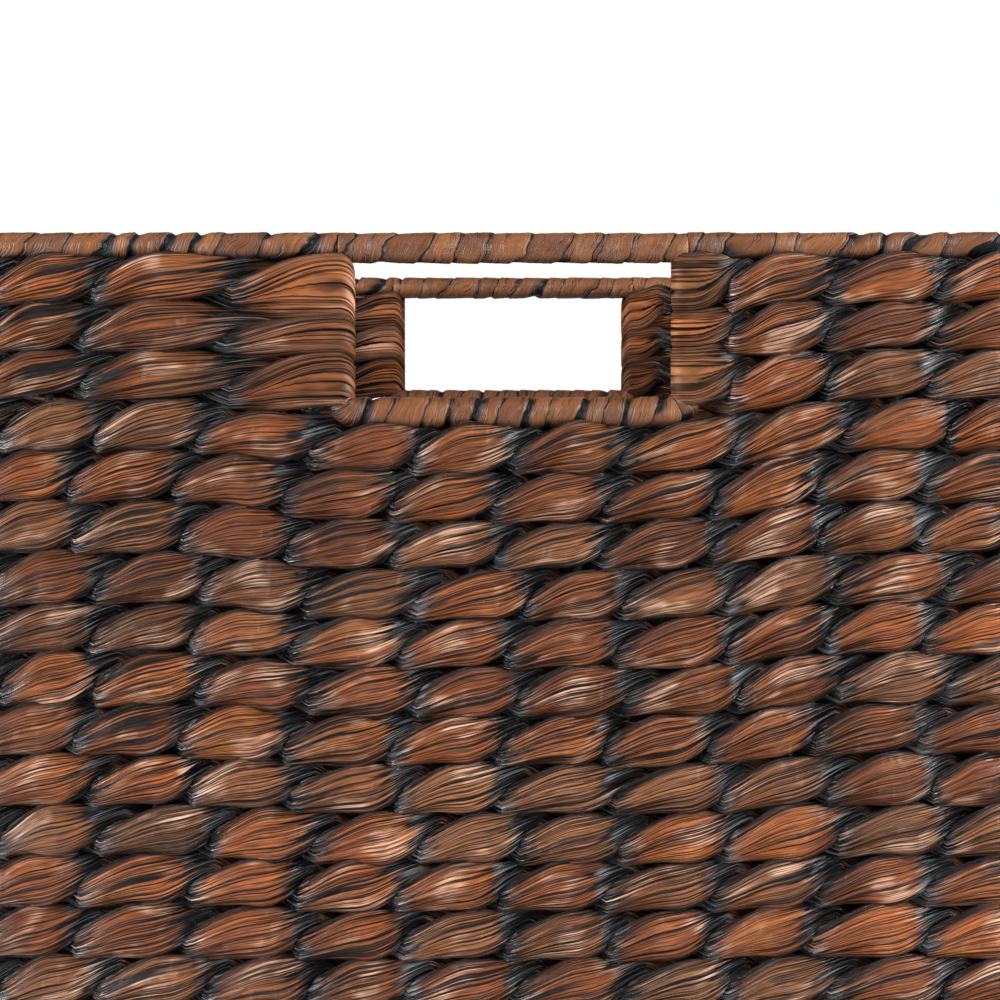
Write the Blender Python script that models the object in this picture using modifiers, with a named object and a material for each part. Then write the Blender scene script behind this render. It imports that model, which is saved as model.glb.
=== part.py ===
"""Open wicker basket: twined plant stems over a bent wire frame, with a cut-out handle in each end wall.

Metres, +Z up. The origin is the middle of the underside. The two end walls, which hold the handles,
face -Y (front) and +Y (back).
"""

import math

import bmesh
import bpy
from mathutils import Vector

# Driving dimensions.
LENGTH = 0.510  # outside, along Y
WIDTH = 0.410  # outside, along X
CORNER_RADIUS = 0.030  # outside corner of the walls, in plan
WIRE = 0.003  # diameter of the stakes and of the welded frame
RIM_WIRE = 0.006  # diameter of the heavier rim wire
PLY = 0.0065  # thickness of the weave on each side of the stakes
GAP = 0.0003  # clearance between touching pieces

# The walls, from the base up.
BASE_THICKNESS = 0.0192
FIRST_COURSE = 0.0195
COURSE_PITCH = 0.0175
COURSE_COUNT = 13
SILL_WRAP = 0.011  # diameter of the wrapped bar under each handle opening
OPENING_HEIGHT = 0.046
RIM_WRAP = 0.0107  # diameter of the wrapped rim and grips
HANDLE_COURSE_COUNT = 3

# The handles.
OPENING_HALF_WIDTH = 0.0542
POST_X = 0.060
SILL_BEND = 0.0065
SILL_BEND_SHARE = 0.25  # how much of each bend the sill wrap follows
NOTCH_HALF_WIDTH = 0.066

# The stakes.
STAKE_PITCH = 0.0365
FIRST_STAKE_X = -0.160
STAKES_ACROSS = 10
SHORT_STAKES = (3, 4, 5, 6, 7)  # those that stop at the height of the sills
STAKES_ALONG = 13
STAKE_BEND = 0.008
LOWER_WIRE_Z = 0.0063  # centre of the stakes that cross the base from front to back
UPPER_WIRE_Z = 0.0097  # centre of the stakes that cross it from left to right
RING_WIRE_Z = 0.0130
RING_WIRE_INSET = 0.012

# The base mats.
MAT_THICKNESS = 0.0044
UPPER_MAT_INSET = 0.004

# Smoothness.
CORNER_STEPS = 5
BEND_STEPS = 3
HOLE_SIDES = 8

# What follows from them.
WALL = 2 * PLY + WIRE + 2 * GAP
MID_X = WIDTH / 2 - WALL / 2
MID_Y = LENGTH / 2 - WALL / 2
MID_RADIUS = CORNER_RADIUS - WALL / 2
WIRE_SLOT = WIRE / 2 + GAP
SILL_TOP = FIRST_COURSE + COURSE_COUNT * COURSE_PITCH + GAP
SILL_Z = SILL_TOP - SILL_WRAP / 2
RIM_UNDERSIDE = SILL_TOP + OPENING_HEIGHT
RIM_Z = RIM_UNDERSIDE + RIM_WRAP / 2
STAKE_TOP = RIM_UNDERSIDE - GAP
SHORT_STAKE_TOP = SILL_TOP - SILL_WRAP - GAP
HANDLE_PITCH = (STAKE_TOP - SILL_TOP) / HANDLE_COURSE_COUNT

COLOURS = {
    "Twined stem": (0.16, 0.062, 0.030, 1.0),
    "Leaf wrap": (0.30, 0.14, 0.080, 1.0),
    "Coated wire": (0.035, 0.030, 0.028, 1.0),
}
ROUGHNESS = {"Twined stem": 0.42, "Leaf wrap": 0.60, "Coated wire": 0.50}


def clear_scene():
    for obj in list(bpy.data.objects):
        bpy.data.objects.remove(obj, do_unlink=True)


def new_collection(name):
    collection = bpy.data.collections.new(name)
    bpy.context.scene.collection.children.link(collection)
    return collection


def finish(kind, node):
    """A Principled material of its own for one node."""
    material = bpy.data.materials.new(f"{kind} {node}")
    material.use_nodes = True
    shader = material.node_tree.nodes["Principled BSDF"]
    shader.inputs["Base Color"].default_value = COLOURS[kind]
    shader.inputs["Roughness"].default_value = ROUGHNESS[kind]
    shader.inputs["Metallic"].default_value = 0.0
    material.diffuse_color = COLOURS[kind]
    return material


def arc(centre, radius, first, last, steps):
    """Points on an arc between two angles in degrees, ends included."""
    points = []
    for step in range(steps + 1):
        angle = math.radians(first + (last - first) * step / steps)
        points.append((centre[0] + radius * math.cos(angle), centre[1] + radius * math.sin(angle)))
    return points


def loop(offset):
    """Plan outline all round the basket, this far outside the walls' middle line."""
    radius = MID_RADIUS + offset
    middle_x, middle_y = MID_X - MID_RADIUS, MID_Y - MID_RADIUS
    points = []
    for turn, (side_x, side_y) in enumerate(((1, 1), (-1, 1), (-1, -1), (1, -1))):
        centre = (side_x * middle_x, side_y * middle_y)
        points += arc(centre, radius, 90 * turn, 90 * turn + 90, CORNER_STEPS)
    return points


def half_loop(offset, side, end_x):
    """The same line from end_x on the front wall, round one side, to end_x on the back wall."""
    radius = MID_RADIUS + offset
    middle_x, middle_y = MID_X - MID_RADIUS, MID_Y - MID_RADIUS
    points = [(end_x, -MID_Y - offset)]
    points += arc((middle_x, -middle_y), radius, -90, 0, CORNER_STEPS)
    points += arc((middle_x, middle_y), radius, 0, 90, CORNER_STEPS)
    points += [(end_x, MID_Y + offset)]
    return [(side * x, y) for x, y in points]


def corner_points():
    """The four places on the middle line at the middle of its corners."""
    reach = MID_RADIUS * math.sqrt(0.5)
    x, y = MID_X - MID_RADIUS + reach, MID_Y - MID_RADIUS + reach
    return [(side_x * x, side_y * y) for side_x in (-1, 1) for side_y in (-1, 1)]


def rectangle(low_x, high_x, low_y, high_y):
    return [(low_x, low_y), (high_x, low_y), (high_x, high_y), (low_x, high_y)]


def stake_hole(centre):
    """Outline of the hole that a corner post stands in."""
    return arc(centre, WIRE_SLOT / math.cos(math.pi / HOLE_SIDES) + GAP / 2, 0, 360, HOLE_SIDES)[:-1]


def new_curve(name, dimensions, outlines, cyclic):
    curve = bpy.data.curves.new(name, "CURVE")
    curve.dimensions = dimensions
    for outline in outlines:
        spline = curve.splines.new("POLY")
        spline.points.add(len(outline) - 1)
        for knot, place in zip(spline.points, outline):
            knot.co = (*Vector(place).to_3d(), 1.0)
        spline.use_cyclic_u = cyclic
    return curve


def add_object(name, data, kind, collection):
    obj = bpy.data.objects.new(name, data)
    data.materials.append(finish(kind, name))
    collection.objects.link(obj)
    return obj


def add_wire(name, points, diameter, collection, cyclic=False):
    """A round wire along a line of points."""
    curve = new_curve(name, "3D", [points], cyclic)
    curve.bevel_depth = diameter / 2
    curve.bevel_resolution = 2
    curve.use_fill_caps = not cyclic
    return add_object(name, curve, "Coated wire", collection)


def add_wrap(name, points, diameter, core, collection):
    """A strip wound round a core wire, open at both ends."""
    curve = new_curve(name, "3D", [points], cyclic=False)
    curve.bevel_depth = diameter / 2
    curve.bevel_resolution = 3
    obj = add_object(name, curve, "Leaf wrap", collection)
    wall = obj.modifiers.new("Wall", "SOLIDIFY")
    wall.thickness = diameter / 2 - core / 2 - GAP
    wall.offset = -1.0
    return obj


def add_flat(name, outlines, low, high, kind, collection):
    """A flat piece of one plan outline, with holes, between two heights."""
    curve = new_curve(name, "2D", outlines, cyclic=True)
    curve.fill_mode = "BOTH"
    curve.extrude = (high - low) / 2
    obj = add_object(name, curve, kind, collection)
    obj.location.z = (low + high) / 2
    return obj


def as_mesh(obj, collection):
    """The same piece as a closed mesh, which a Boolean can cut."""
    name, data = obj.name, obj.data
    bpy.context.view_layer.update()
    mesh = bpy.data.meshes.new_from_object(obj.evaluated_get(bpy.context.evaluated_depsgraph_get()))
    shape = bmesh.new()
    shape.from_mesh(mesh)
    bmesh.ops.remove_doubles(shape, verts=shape.verts, dist=1e-6)
    shape.to_mesh(mesh)
    shape.free()
    place = obj.matrix_world.copy()
    bpy.data.objects.remove(obj, do_unlink=True)
    bpy.data.curves.remove(data)
    solid = bpy.data.objects.new(name, mesh)
    solid.matrix_world = place
    collection.objects.link(solid)
    return solid


def add_box_cutter(name, low, high, collection):
    bpy.ops.mesh.primitive_cube_add(size=1.0)
    box = bpy.context.object
    box.name = name
    for vertex in box.data.vertices:
        vertex.co = [a + (b - a) * (c + 0.5) for a, b, c in zip(low, high, vertex.co)]
    for holder in list(box.users_collection):
        holder.objects.unlink(box)
    collection.objects.link(box)
    box.hide_render = True
    box.display_type = "WIRE"
    return box


def stake_line(half, bottom, top):
    """A bent wire that runs down one wall, across the base and up the other: (sideways, up) pairs."""
    inner = half - STAKE_BEND
    left = arc((-inner, bottom + STAKE_BEND), STAKE_BEND, 180, 270, BEND_STEPS)
    right = arc((inner, bottom + STAKE_BEND), STAKE_BEND, 270, 360, BEND_STEPS)
    return [(-half, top)] + left + right + [(half, top)]


def make_stakes(collection):
    """The upright wires: bent across the base both ways, with one more post in each corner."""
    for number in range(1, STAKES_ACROSS + 1):
        x = FIRST_STAKE_X + (number - 1) * STAKE_PITCH
        top = SHORT_STAKE_TOP if number in SHORT_STAKES else STAKE_TOP
        line = [(x, across, up) for across, up in stake_line(MID_Y, LOWER_WIRE_Z, top)]
        add_wire(f"stake_front_back_{number:02d}", line, WIRE, collection)
    for index in range(STAKES_ALONG):
        y = (index - (STAKES_ALONG - 1) / 2) * STAKE_PITCH
        line = [(across, y, up) for across, up in stake_line(MID_X, UPPER_WIRE_Z, STAKE_TOP)]
        add_wire(f"stake_left_right_{index + 1:02d}", line, WIRE, collection)
    for index, (x, y) in enumerate(corner_points()):
        line = [(x, y, MAT_THICKNESS + GAP), (x, y, STAKE_TOP)]
        add_wire(f"corner_post_{index + 1}", line, WIRE, collection)


def sill_line(height, share):
    """The sill bar, from part of the way round one bend to as far round the other: (sideways, up) pairs."""
    inner = POST_X - SILL_BEND
    turn = 90 * share
    left = arc((-inner, height + SILL_BEND), SILL_BEND, 270 - turn, 270, BEND_STEPS)
    right = arc((inner, height + SILL_BEND), SILL_BEND, 270, 270 + turn, BEND_STEPS)
    return left + right


def make_frame(collection):
    """The welded wires that the stakes join: rim, base ring and a U round each handle opening."""
    add_wire("rim_wire", [(x, y, RIM_Z) for x, y in loop(0)], RIM_WIRE, collection, cyclic=True)
    ring = [(x, y, RING_WIRE_Z) for x, y in loop(-RING_WIRE_INSET)]
    add_wire("base_ring_wire", ring, WIRE, collection, cyclic=True)
    for wall, y in (("front", -MID_Y), ("back", MID_Y)):
        line = [(-POST_X, STAKE_TOP)] + sill_line(SILL_Z, 1.0) + [(POST_X, STAKE_TOP)]
        add_wire(f"handle_frame_{wall}", [(x, y, z) for x, z in line], WIRE, collection)


def stake_slots():
    """Holes in a full course for the stakes of the four walls and the corner posts."""
    reach_x = MID_X - MID_RADIUS - GAP
    reach_y = MID_Y - MID_RADIUS - GAP
    slots = []
    for side in (-1, 1):
        middle_x, middle_y = side * MID_X, side * MID_Y
        slots.append(rectangle(-reach_x, reach_x, middle_y - WIRE_SLOT, middle_y + WIRE_SLOT))
        slots.append(rectangle(middle_x - WIRE_SLOT, middle_x + WIRE_SLOT, -reach_y, reach_y))
    return slots + [stake_hole(centre) for centre in corner_points()]


def make_courses(collection, cutters):
    """The full rows of twining. The top one is notched for the two sill bars."""
    for index in range(COURSE_COUNT):
        low = FIRST_COURSE + index * COURSE_PITCH
        outlines = [loop(WALL / 2), loop(-WALL / 2)] + stake_slots()
        name = f"weave_course_{index + 1:02d}"
        course = add_flat(name, outlines, low, low + COURSE_PITCH - GAP, "Twined stem", collection)
    course = as_mesh(course, collection)
    for wall, y in (("front", -MID_Y), ("back", MID_Y)):
        low_corner = (-NOTCH_HALF_WIDTH, y - WALL, SHORT_STAKE_TOP)
        high_corner = (NOTCH_HALF_WIDTH, y + WALL, RIM_UNDERSIDE)
        notch = course.modifiers.new(f"Notch {wall}", "BOOLEAN")
        notch.object = add_box_cutter(f"notch_{wall}", low_corner, high_corner, cutters)
        notch.operation = "DIFFERENCE"


def half_course_outline(side):
    """A row that stops at the handle posts and turns back round each of them."""
    outside = half_loop(WALL / 2, 1, POST_X)
    inside = half_loop(-WALL / 2, 1, POST_X)
    reach = POST_X - OPENING_HALF_WIDTH
    turn = [(x * reach / (WALL / 2), y) for x, y in arc((0, 0), WALL / 2, 90, 270, 6)[1:-1]]
    back_end = [(POST_X + x, MID_Y + y) for x, y in turn]
    front_end = [(POST_X + x, -MID_Y + y) for x, y in turn]
    outline = outside + back_end + inside[::-1] + front_end
    return [(side * x, y) for x, y in outline]


def half_course_slots(side):
    reach_x = MID_X - MID_RADIUS - GAP
    reach_y = MID_Y - MID_RADIUS - GAP
    near, far = sorted((side * (POST_X - WIRE_SLOT), side * reach_x))
    slots = [rectangle(side * MID_X - WIRE_SLOT, side * MID_X + WIRE_SLOT, -reach_y, reach_y)]
    for y in (-MID_Y, MID_Y):
        slots.append(rectangle(near, far, y - WIRE_SLOT, y + WIRE_SLOT))
    return slots + [stake_hole(centre) for centre in corner_points() if centre[0] * side > 0]


def make_handle_courses(collection):
    """The rows beside the handle openings, in a left and a right half."""
    for label, side in (("left", -1), ("right", 1)):
        for index in range(HANDLE_COURSE_COUNT):
            low = SILL_TOP + index * HANDLE_PITCH
            outlines = [half_course_outline(side)] + half_course_slots(side)
            name = f"handle_course_{label}_{index + 1}"
            add_flat(name, outlines, low, low + HANDLE_PITCH - GAP, "Twined stem", collection)


def make_base(collection):
    """Two woven mats with the base wires between them, and the row that closes their edge."""
    under_edge = WIRE / 2
    add_flat("base_weave_under", [loop(under_edge)], 0.0, MAT_THICKNESS, "Twined stem", collection)
    over_low = BASE_THICKNESS - MAT_THICKNESS
    over = [loop(-UPPER_MAT_INSET)]
    add_flat("base_weave_over", over, over_low, BASE_THICKNESS, "Twined stem", collection)
    edge = [loop(WALL / 2), loop(WIRE_SLOT)]
    add_flat("base_edge_course", edge, 0.0, BASE_THICKNESS, "Twined stem", collection)


def make_wraps(collection):
    """Leaf strips wound round the rim, the grips and the sill bars."""
    wrap_end = POST_X + GAP / 2
    grip_end = POST_X - GAP / 2
    for label, side in (("left", -1), ("right", 1)):
        line = [(x, y, RIM_Z) for x, y in half_loop(0, side, wrap_end)]
        add_wrap(f"rim_wrap_{label}", line, RIM_WRAP, RIM_WIRE, collection)
    for wall, y in (("front", -MID_Y), ("back", MID_Y)):
        grip = [(-grip_end, y, RIM_Z), (grip_end, y, RIM_Z)]
        add_wrap(f"grip_wrap_{wall}", grip, RIM_WRAP, RIM_WIRE, collection)
        sill = [(x, y, z) for x, z in sill_line(SILL_Z, SILL_BEND_SHARE)]
        add_wrap(f"sill_wrap_{wall}", sill, SILL_WRAP, WIRE, collection)


def shade():
    """Round wires and wraps are shaded smooth."""
    for curve in bpy.data.curves:
        if curve.bevel_depth:
            for spline in curve.splines:
                spline.use_smooth = True


def main():
    clear_scene()
    basket = new_collection("Wicker basket")
    cutters = new_collection("Cutters")
    make_stakes(basket)
    make_frame(basket)
    make_courses(basket, cutters)
    make_handle_courses(basket)
    make_base(basket)
    make_wraps(basket)
    shade()


main()
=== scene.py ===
"""Wicker basket: twined, lacquered stems over a bent wire frame, with a wrapped rim and cut-out handles.

Metres, +Z up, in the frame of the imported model. Every woven row is two stems that pass each other
between every two upright wires; leaf strips are wound round the rim, the grips and the sill bars.
"""

import math
import random

import bmesh
import bpy
import numpy as np
from bpy.props import FloatProperty, FloatVectorProperty, IntProperty, PointerProperty
from mathutils import Euler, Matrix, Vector


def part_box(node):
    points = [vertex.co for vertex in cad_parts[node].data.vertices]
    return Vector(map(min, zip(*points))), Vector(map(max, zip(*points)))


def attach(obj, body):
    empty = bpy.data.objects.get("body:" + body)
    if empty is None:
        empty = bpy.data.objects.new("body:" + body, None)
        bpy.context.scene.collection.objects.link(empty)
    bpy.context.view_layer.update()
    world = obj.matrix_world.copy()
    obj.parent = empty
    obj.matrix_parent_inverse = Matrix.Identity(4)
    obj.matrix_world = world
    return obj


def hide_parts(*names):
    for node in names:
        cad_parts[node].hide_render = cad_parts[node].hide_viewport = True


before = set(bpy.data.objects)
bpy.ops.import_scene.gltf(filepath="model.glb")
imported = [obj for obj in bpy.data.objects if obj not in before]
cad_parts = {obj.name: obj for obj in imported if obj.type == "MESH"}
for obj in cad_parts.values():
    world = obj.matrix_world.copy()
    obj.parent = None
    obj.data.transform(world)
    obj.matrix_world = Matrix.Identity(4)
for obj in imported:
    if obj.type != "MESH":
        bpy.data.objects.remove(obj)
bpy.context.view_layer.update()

bl_info = {
    "name": "Wicker basket",
    "version": (1, 0, 0),
    "blender": (4, 5, 0),
    "location": "3D View > Sidebar > Basket",
    "description": "Weaves an open basket of twined stems round a wire frame",
    "category": "Add Mesh",
}

PIECES = "Basket pieces"
GUIDES = "Basket guides"


# ---- places from the frame


def middle(node):
    """Centre of a node's box."""
    low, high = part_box(node)
    return Vector([(a + b) / 2 for a, b in zip(low, high)])


def nodes_named(start):
    return sorted(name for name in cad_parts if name.startswith(start))


class Walls:
    """The line that runs round the basket at the middle of its walls."""

    def __init__(self):
        low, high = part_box("rim_wire")
        rim_radius = (high[2] - low[2]) / 2
        self.mid_x = high[0] - rim_radius
        self.mid_y = high[1] - rim_radius
        corner = middle("corner_post_4")
        # A corner post stands at the middle of its arc, which gives the arc's radius.
        self.radius = (self.mid_x - corner.x) / (1 - math.sqrt(0.5))
        self.flat_x = self.mid_x - self.radius
        self.flat_y = self.mid_y - self.radius
        self.arc = self.radius * math.pi / 2
        self.length = 4 * (self.flat_x + self.flat_y) + 4 * self.arc
        self.post_x = middle("handle_frame_front").x + self.half_post_gap()
        self.stakes = self.stake_places(0.0)
        rim_low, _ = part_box("rim_wrap_left")
        self.tall_stakes = self.stake_places(rim_low[2] - 0.001)

    def half_post_gap(self):
        low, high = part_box("handle_frame_front")
        wire = high[1] - low[1]
        return (high[0] - low[0] - wire) / 2

    def place(self, distance):
        """Point and outward direction, this far anticlockwise from the front wall's middle."""
        distance %= self.length
        x, y = self.flat_x, self.flat_y
        runs = [
            (x, (0, -self.mid_y), (1, 0)),
            (self.arc, (x, -y), -90),
            (2 * y, (self.mid_x, -y), (0, 1)),
            (self.arc, (x, y), 0),
            (2 * x, (x, self.mid_y), (-1, 0)),
            (self.arc, (-x, y), 90),
            (2 * y, (-self.mid_x, y), (0, -1)),
            (self.arc, (-x, -y), 180),
            (x, (-x, -self.mid_y), (1, 0)),
        ]
        for span, start, heading in runs:
            if distance <= span:
                break
            distance -= span
        if isinstance(heading, tuple):
            point = Vector((start[0] + heading[0] * distance, start[1] + heading[1] * distance))
            return point, Vector((heading[1], -heading[0]))
        angle = math.radians(heading) + distance / self.radius
        out = Vector((math.cos(angle), math.sin(angle)))
        return Vector(start) + out * self.radius, out

    def stake_places(self, least_top):
        """How far round the walls each upright wire stands that is at least this tall."""
        places = []
        for node in nodes_named("stake_front_back"):
            x = middle(node).x
            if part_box(node)[1][2] > least_top:
                places += [x % self.length, self.length / 2 - x]
        for node in nodes_named("stake_left_right"):
            y = middle(node).y
            right = self.flat_x + self.arc + self.flat_y + y
            places += [right, self.length - right]
        first_corner = self.flat_x + self.arc / 2
        for corner in (first_corner, self.length / 2 - first_corner):
            places += [corner, self.length - corner]
        return sorted(places)


walls = Walls()


# ---- settings


def metres(label, default, about):
    return FloatProperty(name=label, description=about, default=default, unit="LENGTH")


def plain(label, default, about, **more):
    return FloatProperty(name=label, description=about, default=default, **more)


def whole(label, default, about, least=0):
    return IntProperty(name=label, description=about, default=default, min=least)


def tint(label, default, about):
    return FloatVectorProperty(name=label, description=about, default=default, subtype="COLOR",
                               min=0, max=1)


class StemSettings(bpy.types.PropertyGroup):
    """The stems that the walls and the base are woven from."""

    half_width: metres("Half width", 0.0095, "Half the stem's width where it passes a wire")
    half_thickness: metres("Half thickness", 0.0037, "Half its thickness there")
    pinched_width: metres("Pinched width", 0.0048, "Half its width at its narrowest, behind its partner")
    pinched_thickness: metres("Pinched thickness", 0.0054, "Half its thickness there")
    swing: metres("Swing", 0.0043, "How far a stem passes outside the wires")
    rise: metres("Rise", 0.0056, "How far one stem passes over the other at a crossing")
    lead: plain("Lead", 0.36, "How much sooner a stem comes out than its partner goes in", unit="ROTATION")
    crease: metres("Crease", 0.0008, "Depth of the folds along a dried stem")
    steps: whole("Steps", 15, "Rings of points between two wires", 4)
    sides: whole("Sides", 30, "Points round a stem", 8)
    seed: whole("Seed", 11, "Start of the random draws")


class StripSettings(bpy.types.PropertyGroup):
    """The leaf strips wound round the rim, grips and sill bars."""

    width: metres("Strip width", 0.0120, "Distance between two turns of the strip")
    overlap: metres("Overlap step", 0.00055, "Height of a turn's edge over the one before")
    slant: plain("Slant", 1.0, "How many strip widths an edge leans on its way round")
    spacing: metres("Ring spacing", 0.0009, "Distance between rings of points")
    sides: whole("Sides", 28, "Points round a wound bar", 8)


class FinishSettings(bpy.types.PropertyGroup):
    """Colours of the finished basket."""

    stem: tint("Stem", (0.172, 0.043, 0.0075), "Red-brown of most stems")
    stem_pale: tint("Pale stem", (0.160, 0.060, 0.0200), "Duller tan of the other stems")
    stem_bright: tint("Bright stem", (0.260, 0.086, 0.0180), "Orange where the stain is thin")
    # Dark stain, and also the colour of the painted shade at the stem ends, between rows and on the wound
    # strips.
    stain_and_shade_colour: tint("Stain and shade", (0.0026, 0.0020, 0.0022), "Dark stain in the folds and at the tips")
    scuff: tint("Scuff", (0.34, 0.19, 0.13), "Short marks across a stem")
    # Painted sheen: pale patches that stand in for broad highlights of the lacquer.
    painted_sheen: tint("Painted sheen", (0.60, 0.36, 0.24), "Pale patches of painted sheen")
    # Painted glints: grey streaks that stand in for highlights on the dark ends.
    painted_glint: tint("Painted glint", (0.38, 0.385, 0.395), "Grey painted glints on the folds at the tips")
    strip: tint("Leaf strip", (0.142, 0.049, 0.0155), "Brown of the wound strips")
    strip_dark: tint("Dark leaf strip", (0.095, 0.033, 0.012), "Darker brown of some turns")
    strip_pale: tint("Pale leaf strip", (0.195, 0.082, 0.031), "Patches where a strip is paler")
    wire: tint("Wire", (0.007, 0.006, 0.006), "Coated wire of the frame")


class StageSettings(bpy.types.PropertyGroup):
    """Camera, lights and floor."""

    distance: metres("Camera distance", 1.073, "From the front wall to the camera")
    height: metres("Camera height", 0.2550, "Above the floor")
    lens: plain("Lens", 112.0, "Focal length in millimetres")
    tilt: plain("Tilt", math.radians(2.30), "How far the camera looks down", unit="ROTATION")
    turn: plain("Turn", math.radians(0.24), "How far the camera looks to the left", unit="ROTATION")
    side_light: plain("Side lights", 70.0, "Power of each side light, in watts")
    front_light: plain("Front light", 3.0, "Power of the front light, in watts")
    back_light: plain("Back light", 2.5, "Power of the light behind, in watts")
    top_light: plain("Top light", 7.0, "Power of the light overhead, in watts")
    ambient: plain("Ambient", 0.02, "Strength of the light from all round")


# ---- node trees


class Term:
    """A number in a node tree, so that a formula made of nodes reads as a formula."""

    def __init__(self, tree, socket):
        self.tree = tree
        self.socket = socket

    def math(self, operation, *others):
        node = self.tree.nodes.new("ShaderNodeMath")
        node.operation = operation
        for place, value in enumerate((self, *others)):
            feed(self.tree, node.inputs[place], value)
        return Term(self.tree, node.outputs[0])

    def __add__(self, other):
        return self.math("ADD", other)

    def __sub__(self, other):
        return self.math("SUBTRACT", other)

    def __rsub__(self, other):
        return self.math("MULTIPLY", -1.0).math("ADD", other)

    def __mul__(self, other):
        return self.math("MULTIPLY", other)

    def __truediv__(self, other):
        return self.math("DIVIDE", other)

    __radd__ = __add__
    __rmul__ = __mul__

    def between(self, low, high):
        """0 below low, 1 above high, smooth from one to the other."""
        node = self.tree.nodes.new("ShaderNodeMapRange")
        node.interpolation_type = "SMOOTHSTEP"
        feed(self.tree, node.inputs["Value"], self)
        node.inputs["From Min"].default_value = low
        node.inputs["From Max"].default_value = high
        return Term(self.tree, node.outputs["Result"])


def feed(tree, socket, value):
    """Links a term to a socket, or sets the socket to a plain value."""
    if isinstance(value, Term):
        tree.links.new(value.socket, socket)
    elif isinstance(value, bpy.types.NodeSocket):
        tree.links.new(value, socket)
    else:
        socket.default_value = value


def add_node(tree, kind, inputs=None, **settings):
    node = tree.nodes.new(kind)
    for name, value in settings.items():
        setattr(node, name, value)
    for name, value in (inputs or {}).items():
        feed(tree, node.inputs[name], value)
    return node


def combine(tree, x, y, z):
    node = tree.nodes.new("ShaderNodeCombineXYZ")
    for socket, value in zip(node.inputs, (x, y, z)):
        feed(tree, socket, value)
    return node.outputs[0]


def scaled(tree, vector, factor):
    node = add_node(tree, "ShaderNodeVectorMath", operation="SCALE")
    feed(tree, node.inputs[0], vector)
    feed(tree, node.inputs["Scale"], factor)
    return node.outputs[0]


def noise(tree, place, scale=1.0, detail=2.0, roughness=0.5):
    """A term from 0 to 1, mostly near one half, at a vector or at three numbers."""
    vector = combine(tree, *place) if isinstance(place, tuple) else place
    node = add_node(tree, "ShaderNodeTexNoise", {"Vector": vector, "Scale": scale, "Detail": detail,
                                                 "Roughness": roughness})
    return Term(tree, node.outputs[0])


def mixed(low, high, share):
    """A number between two others."""
    return share * (high - low) + low


def new_tree(name, inputs):
    """An empty Geometry Nodes tree with a guide to follow, named sizes and a material."""
    tree = bpy.data.node_groups.new(name, "GeometryNodeTree")
    tree.interface.new_socket("Guide", in_out="INPUT", socket_type="NodeSocketGeometry")
    kinds = {"f": "NodeSocketFloat", "i": "NodeSocketInt", "m": "NodeSocketMaterial"}
    for label, kind in inputs.items():
        tree.interface.new_socket(label, in_out="INPUT", socket_type=kinds[kind])
    tree.interface.new_socket("Geometry", in_out="OUTPUT", socket_type="NodeSocketGeometry")
    entry = tree.nodes.new("NodeGroupInput")
    terms = {label: Term(tree, entry.outputs[label]) for label in ["Guide", *inputs]}
    return tree, terms


class Sweep:
    """A skin of points laid round a guide line: one ring of points for each point of the guide."""

    def __init__(self, tree, guide, sides):
        self.tree = tree
        self.guide = guide
        size = add_node(tree, "GeometryNodeAttributeDomainSize", {"Geometry": guide})
        grid = add_node(tree, "GeometryNodeMeshGrid", {"Vertices X": size.outputs["Point Count"],
                                                       "Vertices Y": sides + 1})
        self.skin = grid.outputs["Mesh"]
        index = Term(tree, tree.nodes.new("GeometryNodeInputIndex").outputs[0])
        self.index = (index / (sides + 1)).math("FLOOR")
        column = index - self.index * (sides + 1)
        # The seam is underneath.
        self.round = column / sides
        self.angle = self.round * (2 * math.pi) - math.pi / 2

    def sample(self, name, kind="FLOAT"):
        """The guide's attribute at this point's ring."""
        if name == "position":
            value = self.tree.nodes.new("GeometryNodeInputPosition").outputs[0]
        else:
            value = add_node(self.tree, "GeometryNodeInputNamedAttribute", {"Name": name},
                             data_type=kind).outputs[0]
        node = add_node(self.tree, "GeometryNodeSampleIndex",
                        {"Geometry": self.guide, "Index": self.index}, data_type=kind, domain="POINT")
        feed(self.tree, node.inputs["Value"], value)
        return node.outputs[0] if kind == "FLOAT_VECTOR" else Term(self.tree, node.outputs[0])

    def placed(self, out_part, rise_part):
        """The guide's point, moved this far outwards and this far along the rise."""
        position = self.sample("position", "FLOAT_VECTOR")
        for name, part in (("out", out_part), ("rise_way", rise_part)):
            node = add_node(self.tree, "ShaderNodeVectorMath", operation="ADD")
            feed(self.tree, node.inputs[0], position)
            feed(self.tree, node.inputs[1], scaled(self.tree, self.sample(name, "FLOAT_VECTOR"), part))
            position = node.outputs[0]
        return position

    def finish(self, position, stored, map_place, material):
        """Moves the points, stores what the material reads, closes the seams and sets the material."""
        tree, geometry = self.tree, self.skin

        def then(kind, inputs=None, **settings):
            nonlocal geometry
            node = add_node(tree, kind, {"Geometry": geometry, **(inputs or {})}, **settings)
            geometry = node.outputs[0]

        for name, value in stored.items():
            then("GeometryNodeStoreNamedAttribute", {"Name": name, "Value": value},
                 data_type="FLOAT", domain="POINT")
        # Worked out for each point first: the index would mean something else in a face's corner.
        at_points = add_node(tree, "GeometryNodeFieldOnDomain", domain="POINT", data_type="FLOAT_VECTOR")
        feed(tree, at_points.inputs[0], map_place)
        then("GeometryNodeStoreNamedAttribute", {"Name": "Stem map", "Value": at_points.outputs[0]},
             data_type="FLOAT2", domain="CORNER")
        then("GeometryNodeSetPosition", {"Position": position})
        then("GeometryNodeMergeByDistance", {"Distance": MERGE_DISTANCE})
        then("GeometryNodeSetShadeSmooth")
        then("GeometryNodeRealizeInstances")
        then("GeometryNodeSetMaterial", {"Material": material})
        leave = tree.nodes.new("NodeGroupOutput")
        tree.links.new(geometry, leave.inputs[0])


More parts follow.
